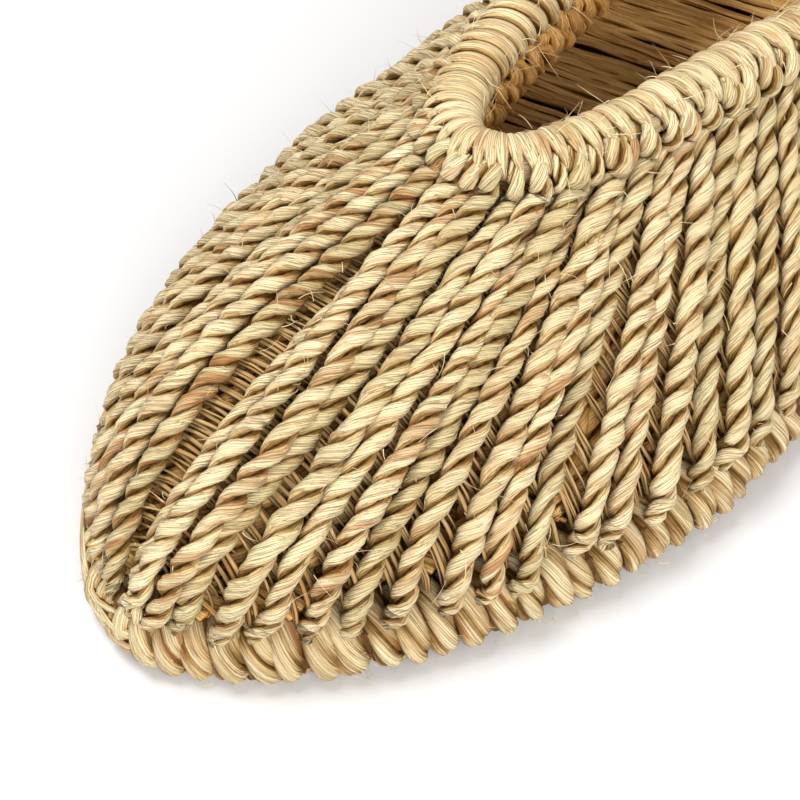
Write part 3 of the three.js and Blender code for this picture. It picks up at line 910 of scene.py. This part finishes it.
def even_shares(points_at, count, weight_at):
    """Shares of a loop at which this many things stand evenly, closer where the weight is more."""
    fine = np.linspace(0.0, 1.0, 1601)
    middle = (fine[1:] + fine[:-1]) / 2.0
    steps = np.linalg.norm(np.diff(points_at(fine), axis=0), axis=1) * weight_at(middle)
    reached = np.concatenate([[0.0], np.cumsum(steps)])
    return np.interp((np.arange(count) + 0.5) / count * reached[-1], reached, fine)


def near_throat(share, reach=0.055):
    return np.exp(-(np.minimum(share, 1.0 - share) / reach) ** 2)


# A wrap goes round the core from its inner side to its outer one: angle and rise over the core
WRAP_FROM = 222.0
WRAP_PATH = ((WRAP_FROM, 0.0), (188.0, 0.0), (154.0, 0.0), (120.0, 0.1), (88.0, 0.2), (60.0, 0.4),
             (38.0, 0.7), (20.0, 0.6), (6.0, -0.2))

# How deep the middle of a wrap and the core's own surface lie in the roll
WRAP_DEPTH = 1.2
CORE_DEPTH = 1.7

# At the heel, where the cords stand apart, the wraps go this many degrees further round the core
HEEL_WRAP_DROP = 60.0
HEEL_WRAP_REACH = 0.14

# How much closer together the wraps stand at the throat
THROAT_CROWDING = 0.55


def make_wraps(form, counts):
    """The turns of straw that cover the collar."""
    chance = np.random.default_rng(SEED + 3)
    rings = 20
    outer = (ROLL_OUTWARD + 1.0) * ROLL_RADIUS
    shares = even_shares(lambda share: form.collar.at(share) + outer * form.collar.outward(share),
                         counts.wraps, lambda share: 1.0 + THROAT_CROWDING * near_throat(share))
    for share in shares:
        throat = float(near_throat(share))
        lean = mix(5.0 if share > 0.5 else 2.2, 1.0, throat)
        lean = lean * chance.uniform(0.8, 1.2) / form.collar.perimeter
        fat = chance.uniform(-0.15, 0.2)
        heel = float(ease(1.0 - abs(share - 0.5) / HEEL_WRAP_REACH))
        corners = []
        for angle, rise in WRAP_PATH:
            angle -= heel * HEEL_WRAP_DROP * max(0.0, 1.0 - angle / 90.0)
            place = share + lean * ((WRAP_FROM - angle) / 200.0 - 0.35)
            turned = math.radians(angle + chance.uniform(-5.0, 5.0) * (angle < 60.0))
            direction = around_roll(form.collar.outward(place), turned)
            radius = ROLL_RADIUS - WRAP_DEPTH + fat + rise
            corners.append([*(form.roll_centre(place) + direction * radius), *direction])
        path = smooth_path(corners, rings)
        along = np.linspace(0.0, 1.0, rings)
        taper = mix(0.6, 1.0, ease(along / 0.35)) * mix(mix(0.3, 0.8, heel), 1.0, ease((1.0 - along) / 0.4))
        broad = mix(1.62, 1.12, throat) * mix(1.0, 1.12, heel) * taper * chance.uniform(0.9, 1.12)
        thick = mix(1.35, 1.0, throat) * mix(0.45, 1.0, taper)
        shade, green, stain = random_tone(chance, 0.8, 0.15, 0.55, 0.07)
        tone = (min(1.0, shade + 0.3), green, stain)
        spin = mix(0.30, 0.08, throat) + chance.uniform(-0.12, 0.12)
        yield Strand(path[:, :3], unit(path[:, 3:]), broad, thick, tone, chance, spin=spin)


def make_collar_core(form):
    """The rope under the wraps, seen only where they part."""
    share = np.linspace(0.5, 1.5, 150)
    outward = np.pad(form.collar.outward(share), ((0, 0), (0, 1)))
    radius = ROLL_RADIUS - CORE_DEPTH
    return [Strand(form.roll_centre(np.mod(share, 1.0)), outward, radius, radius, (0.8, 0.0, 0.0))]


# The sole: fat turns of weft over its edge, its tread and the footbed


def turn_path(form, share, lean, chance, rings):
    """The middle of one turn: from behind the cords over the shoulder, down the edge and under it."""
    bulge, high = chance.uniform(-0.3, 0.5), chance.uniform(-0.4, 0.5)
    top = form.thickness
    steps = (
        (-0.60, 9.5, top - 2.4),
        (-0.45, 6.2, top - 1.5 + high),
        (-0.25, 3.9, top - 2.1 + high),
        (0.00, 2.7 - bulge, 0.58 * top),
        (0.25, 2.6 - bulge, 0.36 * top),
        (0.50, 3.4, 2.0),
        (0.70, 6.6, 1.9),
    )
    corners = []
    for shift, inset, height in steps:
        place = share + lean * shift
        flat = form.sole.at(place) - inset * form.sole.outward(place)
        corners.append((flat[0], flat[1], height))
    path = smooth_path(corners, rings)
    middle = np.array([*(form.sole.at(share) - 8.0 * form.sole.outward(share)), 0.5 * top])
    return path, unit(path - middle)


def make_edge_turns(form, sizes):
    """Each turn of the weft is a fat, loosely twisted bundle of straws."""
    chance = np.random.default_rng(SEED + 4)
    rings = 17
    plies = 3
    turns = round(form.sole.perimeter / (sizes.weft_pitch / MM))
    along = np.linspace(0.0, 1.0, rings)
    swell = mix(0.85, 1.0, ease(along / 0.3)) * mix(0.55, 1.0, ease((1.0 - along) / 0.3))
    for index in range(turns):
        share = (index + 0.5 + chance.normal(0.0, 0.09)) / turns
        rearward = 1.0 if share < 0.5 else -1.0
        toe = ease(1.0 - min(share, 1.0 - share) * 6.0)
        fat = chance.uniform(0.82, 1.04) * mix(1.0, 1.15, toe)
        lean = rearward * chance.uniform(0.4, 2.2) / form.sole.perimeter
        shade, green, stain = random_tone(chance, 0.9, 0.15, 1.0, 0.5)
        path, outward = turn_path(form, share, lean, chance, rings)
        first_turn = chance.uniform(0.0, 2.0 * math.pi)
        twist = -chance.uniform(3.0, 5.2)
        for ply in range(plies):
            broad = chance.uniform(1.35, 1.85) * fat * swell
            own_shade = np.clip(shade + 0.3 + chance.uniform(-0.3, 0.3), 0.0, 1.0)
            tone = (own_shade, green, stain * chance.random())
            thick = chance.uniform(1.15, 1.4) * fat * swell
            orbit = chance.uniform(0.95, 1.2) * fat * swell
            turn = first_turn + 2.0 * math.pi * ply / plies + twist * along
            spin = chance.uniform(-0.2, 0.5)
            # The low sidelit paints deep shade on each bundle's sides, so the seams between the turns show
            # dark
            yield Strand(path, outward, broad, thick, tone, chance, orbit, turn, spin, sidelit=-1.3)


# Long straws bind the sole's edge from the inner side of the toe to its tip
BINDING_FROM = -0.125
BINDING_TO = 0.012
BINDING_STRAWS = 14


def make_binding(form):
    """Straws that lie along the sole's edge, with their ends tucked in."""
    chance = np.random.default_rng(SEED + 5)
    rings = 40
    for straw in range(BINDING_STRAWS):
        start = BINDING_FROM + chance.uniform(-0.01, 0.02)
        end = BINDING_TO + chance.uniform(-0.02, 0.008)
        share = np.linspace(start, end, rings)
        along = np.linspace(0.0, 1.0, rings)
        held = ease(along / 0.12) * ease((1.0 - along) / 0.12)
        wave = 0.5 * np.sin(along * chance.uniform(9.0, 26.0) + chance.uniform(0.0, 6.3))
        height = mix(1.3, 7.4, (straw + 0.5) / BINDING_STRAWS) + wave
        inset = mix(2.8, 0.8 + chance.uniform(-0.7, 0.6), held) + 0.035 * (height - 5.2) ** 2
        flat = form.sole.at(share) - inset[:, None] * form.sole.outward(share)
        points = np.concatenate([flat, height[:, None]], axis=1)
        outward = np.concatenate([form.sole.outward(share), np.full((rings, 1), 0.1)], axis=1)
        tone = random_tone(chance, 0.7, 0.2, 0.6, 0.2)
        yield Strand(points, outward, chance.uniform(0.55, 0.95), 0.5, tone, chance)


def weft_rows(form, pitch, inset):
    """Places along the shoe for straight rows across it, with half the width there."""
    reach = form.length / 2.0 - inset - 1.0
    rows = int(2.0 * reach / pitch)
    for row in range(rows + 1):
        x = -reach + 2.0 * reach * row / rows
        behind = np.array([form.length / 2.0 - x])
        half = float(form.sole_half(behind)[0]) - inset
        centre = float(form.sole_centre(behind)[0])
        if half > 2.0:
            yield row, x, centre, half


# The footbed's wefts run a little rearwards towards the outer side of the foot
WEFT_SKEW = -0.22
FOOTBED_PITCH = 2.2
STRAWS_IN_ROW = 4


def make_footbed(form):
    """Flat wefts across the foot, over one warp and under the next."""
    chance = np.random.default_rng(SEED + 6)
    rings = 22
    level = form.thickness + CLEARANCE + 1.5
    for row, x, centre, half in weft_rows(form, FOOTBED_PITCH, WALL_INSET + 3.0):
        for _ in range(STRAWS_IN_ROW):
            across = np.linspace(-1.0, 1.0, rings)
            y = centre + half * across
            wander = chance.normal(0.0, 1.0) * across + chance.normal(0.0, 0.6) * np.sin(3.0 * across)
            over = 0.22 * np.cos(across * half / 6.5 * math.pi + math.pi * row)
            z = level + over + chance.uniform(-0.45, 0.35)
            skewed = x + WEFT_SKEW * half * across * ease((form.length / 2.0 - abs(x)) / 30.0)
            points = np.stack([skewed + wander + chance.uniform(-0.5, 0.5), y, z], axis=1)
            outward = np.tile([0.0, 0.0, 1.0], (rings, 1))
            tone = random_tone(chance, 1.0, 0.25, 0.6, 0.1)
            yield Strand(points, outward, chance.uniform(0.35, 1.05), 0.45, tone, chance)


# The tread's rows as a share of the edge's pitch, how far in they end and how high they lie
TREAD_ROWS = 0.6
TREAD_INSET = 4.2
TREAD_LEVEL = 1.75


def make_tread(form, sizes):
    """Wefts that cross the sole's underside."""
    chance = np.random.default_rng(SEED + 7)
    rings = 36
    for row, x, centre, half in weft_rows(form, sizes.weft_pitch / MM * TREAD_ROWS, TREAD_INSET):
        across = np.linspace(-1.0, 1.0, rings)
        under = 0.55 * np.cos(across * half / 8.0 * math.pi + math.pi * row)
        points = np.stack([
            np.full(rings, x) + chance.normal(0.0, 0.25) * across,
            centre + half * across,
            TREAD_LEVEL + under], axis=1)
        outward = np.tile([0.0, 0.0, -1.0], (rings, 1))
        tone = random_tone(chance, 0.9, 0.2)
        yield Strand(points, outward, 1.35, 0.9, tone, chance)


CORE_INSET = 2.6
CORE_LEVEL = 2.2


def make_core(form):
    """A slab in the deep shade colour: painted shade for the sole's inside, seen only between the straws."""
    bm = bmesh.new()
    shares = np.linspace(0.0, 1.0, 120, endpoint=False)
    outline = form.sole.at(shares) - CORE_INSET * form.sole.outward(shares)
    lower = [bm.verts.new((x * MM, y * MM, CORE_LEVEL * MM)) for x, y in outline]
    floor_face = bm.faces.new(lower)
    raised = bmesh.ops.extrude_face_region(bm, geom=[floor_face])["geom"]
    top_points = [item for item in raised if isinstance(item, bmesh.types.BMVert)]
    height = form.thickness - 2.0 * CORE_LEVEL
    bmesh.ops.translate(bm, verts=top_points, vec=(0.0, 0.0, height * MM))
    bmesh.ops.recalc_face_normals(bm, faces=bm.faces)
    return add_object("sole_core", mesh_from(bm, "sole_core"))


# Loose fibres

# The share of the fibres that leave the sole's edge, and of those that leave the collar
SOLE_HAIRS = 0.22
COLLAR_HAIRS = 0.33

# The others leave the cords this far outside the upper's surface
CORD_TOP = 1.6


def hair(root, direction, up, length, width, chance, tone):
    """A fine fibre that leaves its strand and curls away."""
    along = np.linspace(0.0, 1.0, 7)[:, None]
    curl = np.cross(direction, up) * chance.normal(0.0, 0.45)
    droop = up * chance.normal(0.05, 0.22)
    points = root + length * (direction * along + (curl + droop) * along ** 2)
    outward = np.tile(up, (len(along), 1))
    thin = width * mix(1.0, 0.3, along[:, 0])
    return Strand(points, outward, thin, thin, tone, chance, sidelit=1.0)


def make_hairs(form, counts):
    """Fibres that have come loose all over the shoe."""
    chance = np.random.default_rng(SEED + 8)
    for _ in range(counts.hairs):
        kind = chance.random()
        around = chance.random()
        width = chance.uniform(0.04, 0.09)
        tone = (0.3 * chance.random(), 0.0, 0.0)
        if kind < SOLE_HAIRS:
            away = form.sole.outward(around)
            flat = form.sole.at(around) - chance.uniform(0.0, 1.2) * away
            root = np.array([flat[0], flat[1], chance.uniform(0.8, 6.5)])
            aside = away + chance.normal(0.0, 0.8, 2)
            direction = unit(np.array([*aside, abs(chance.normal(0.0, 0.4))]))
            up = np.array([0.0, 0.0, 1.0])
            length = chance.uniform(0.6, 1.8)
        elif kind < SOLE_HAIRS + COLLAR_HAIRS:
            up = around_roll(form.collar.outward(around), math.radians(chance.uniform(10.0, 220.0)))
            root = form.roll_centre(around) + up * (ROLL_RADIUS + 0.1)
            direction = unit(up * 0.4 + chance.normal(0.0, 1.0, 3))
            length = chance.uniform(1.5, 6.0)
        else:
            root, up = behind_wall(form, around, chance.uniform(0.03, 0.97), -CORD_TOP)
            direction = unit(up * 0.3 + chance.normal(0.0, 1.0, 3))
            length = chance.uniform(1.2, 4.5)
        yield hair(root, direction, up, length, width, chance, tone)


# The operators, one for each group of pieces


def shoe_form(context):
    return ShoeForm(context.scene.straw_sizes)


class STRAW_OT_fan(bpy.types.Operator):
    """Lays the fan of twisted cords over the foot"""
    bl_idname = "straw.fan"
    bl_label = "Fan of cords"

    def execute(self, context):
        scene = context.scene
        cords = make_fan(shoe_form(context), scene.straw_sizes, scene.straw_counts)
        material = straw_material("straw_cord", scene.straw_colours, fineness=1.25, relief=0.45)
        quarter = -(-len(cords) // 4)
        for part in range(4):
            plies = [ply for pair in cords[part * quarter:(part + 1) * quarter] for ply in pair]
            replaced = ("upper",) if part == 0 else ()
            lay_strands(f"cords_{part + 1}", plies, 10, material, replaced)
        return {"FINISHED"}


class STRAW_OT_lining(bpy.types.Operator):
    """Lays the straws behind the cords and the cords' inner side"""
    bl_idname = "straw.lining"
    bl_label = "Inner layers"

    def execute(self, context):
        form, counts, colours = shoe_form(context), context.scene.straw_counts, context.scene.straw_colours
        # The ribs lie under the cords, so their material gets painted shade all over it
        dim = straw_material("straw_ribs", colours, depth=0.62, relief=0.1)
        lay_strands("ribs", make_ribs(form, counts), 4, dim)
        inner = straw_material("straw_lining", colours, relief=0.3, inside=True)
        lay_strands("lining_cords", make_lining(form, counts), 8, inner)
        lay_strands("collar_lobes", make_inner_lobes(form, counts), 8, inner)
        return {"FINISHED"}


class STRAW_OT_collar(bpy.types.Operator):
    """Wraps straw over the collar's core"""
    bl_idname = "straw.collar"
    bl_label = "Wrapped collar"

    def execute(self, context):
        form, counts, colours = shoe_form(context), context.scene.straw_counts, context.scene.straw_colours
        material = straw_material("straw_collar", colours, fineness=1.6, relief=0.36)
        wraps = make_wraps(form, counts)
        lay_strands("collar_wraps", wraps, 12, material, ("collar_roll",))
        lay_strands("collar_core", make_collar_core(form), 12, material)
        return {"FINISHED"}


class STRAW_OT_sole(bpy.types.Operator):
    """Winds the weft round the sole's edge and weaves its tread"""
    bl_idname = "straw.sole"
    bl_label = "Woven sole"

    def execute(self, context):
        form, sizes, colours = shoe_form(context), context.scene.straw_sizes, context.scene.straw_colours
        material = straw_material("straw_weft", colours, fineness=1.5, relief=0.42)
        turns = make_edge_turns(form, sizes)
        lay_strands("sole_edge_turns", turns, 10, material, ("sole",))
        lay_strands("toe_binding", make_binding(form), 8, material)
        lay_strands("sole_tread", make_tread(form, sizes), 8, material)
        # The sole's core is a slab of painted shade
        finish_piece(make_core(form), plain_material("sole_shade", colours.shade, 0.95))
        return {"FINISHED"}


class STRAW_OT_footbed(bpy.types.Operator):
    """Weaves the footbed inside the shoe"""
    bl_idname = "straw.footbed"
    bl_label = "Footbed"

    def execute(self, context):
        material = straw_material("straw_footbed", context.scene.straw_colours, relief=0.25, inside=True)
        wefts = make_footbed(shoe_form(context))
        lay_strands("footbed_wefts", wefts, 6, material, ("insole",))
        return {"FINISHED"}


class STRAW_OT_loose(bpy.types.Operator):
    """Scatters stray fibres over the cords, collar and sole"""
    bl_idname = "straw.loose"
    bl_label = "Loose fibres"

    def execute(self, context):
        material = straw_material("straw_hair", context.scene.straw_colours, relief=0.02)
        hairs = make_hairs(shoe_form(context), context.scene.straw_counts)
        lay_strands("loose_fibres", hairs, 3, material)
        return {"FINISHED"}


# The stage

# The camera's aim and distance in millimetres, its angles in degrees and its focal length in pixels
CAMERA_TARGET = (82.3, 5.95, 20.0)
CAMERA_TURN = 40.98
CAMERA_RAISE = 48.45
CAMERA_DISTANCE = 330.6
CAMERA_FOCAL_PIXELS = 2349.1
PICTURE_PIXELS = 800
SENSOR = 36.0


def add_camera(context):
    turn, raised = math.radians(CAMERA_TURN), math.radians(CAMERA_RAISE)
    back = Vector((math.cos(raised) * math.cos(turn), math.cos(raised) * math.sin(turn), math.sin(raised)))
    data = bpy.data.cameras.new("camera")
    data.sensor_width = SENSOR
    data.lens = CAMERA_FOCAL_PIXELS * SENSOR / PICTURE_PIXELS
    data.clip_start = 0.01
    camera = add_object("camera", data)
    camera.location = Vector(CAMERA_TARGET) * MM + back * CAMERA_DISTANCE * MM
    camera.rotation_euler = back.to_track_quat("Z", "Y").to_euler()
    context.scene.camera = camera


# Two soft lights, placed in metres: a high one beyond the shoe and a lower one on the photo's side
LIGHT_AIM = (0.06, 0.0, 0.02)
LIGHTS = (
    {"name": "key_light", "place": (0.20, -0.35, 1.15), "size": 0.60, "power": 13.0,
     "colour": (1.0, 0.985, 0.96)},
    {"name": "fill_light", "place": (0.72, 0.95, 0.66), "size": 1.0, "power": 19.0,
     "colour": (1.0, 0.99, 0.97)},
)
WORLD_STRENGTH = 0.52
FLOOR_COLOUR = (0.66, 0.66, 0.67, 1.0)


def add_lights():
    for light in LIGHTS:
        data = bpy.data.lights.new(light["name"], "AREA")
        data.shape = "DISK"
        data.size = light["size"]
        data.energy = light["power"]
        data.color = light["colour"]
        lamp = add_object(light["name"], data)
        lamp.location = light["place"]
        towards = Vector(light["place"]) - Vector(LIGHT_AIM)
        lamp.rotation_euler = towards.to_track_quat("Z", "Y").to_euler()


class STRAW_OT_stage(bpy.types.Operator):
    """Sets the camera, the pale floor and soft studio light"""
    bl_idname = "straw.stage"
    bl_label = "Stage"

    def execute(self, context):
        add_camera(context)
        bm = bmesh.new()
        bmesh.ops.create_grid(bm, x_segments=2, y_segments=2, size=3.0)
        floor = add_object("floor", mesh_from(bm, "floor"))
        floor.data.materials.append(plain_material("floor_paper", FLOOR_COLOUR, 0.9))
        add_lights()
        world = bpy.data.worlds.new("studio")
        world.use_nodes = True
        sky = world.node_tree.nodes["Background"]
        sky.inputs["Color"].default_value = (1.0, 1.0, 1.0, 1.0)
        sky.inputs["Strength"].default_value = WORLD_STRENGTH
        context.scene.world = world
        context.scene.view_settings.view_transform = "Standard"
        return {"FINISHED"}


class STRAW_PT_panel(bpy.types.Panel):
    """Lists the steps that make the shoe"""
    bl_idname = "STRAW_PT_panel"
    bl_label = "Straw slip-on"
    bl_space_type = "VIEW_3D"
    bl_region_type = "UI"
    bl_category = "Straw slip-on"

    def draw(self, context):
        for step in STEPS:
            self.layout.operator(step.bl_idname)


STEPS = (STRAW_OT_stage, STRAW_OT_fan, STRAW_OT_lining, STRAW_OT_collar, STRAW_OT_sole,
         STRAW_OT_footbed, STRAW_OT_loose)
GROUPS = (ShoeSizes, ShoeCounts, ShoeColours)


def register():
    for kind in GROUPS + STEPS + (STRAW_PT_panel,):
        bpy.utils.register_class(kind)
    bpy.types.Scene.straw_sizes = PointerProperty(type=ShoeSizes)
    bpy.types.Scene.straw_counts = PointerProperty(type=ShoeCounts)
    bpy.types.Scene.straw_colours = PointerProperty(type=ShoeColours)


def unregister():
    del bpy.types.Scene.straw_sizes
    del bpy.types.Scene.straw_counts
    del bpy.types.Scene.straw_colours
    for kind in reversed(GROUPS + STEPS + (STRAW_PT_panel,)):
        bpy.utils.unregister_class(kind)


def main():
    register()
    bpy.ops.straw.stage()
    bpy.ops.straw.fan()
    bpy.ops.straw.lining()
    bpy.ops.straw.collar()
    bpy.ops.straw.sole()
    bpy.ops.straw.footbed()
    bpy.ops.straw.loose()


if __name__ == "__main__":
    main()
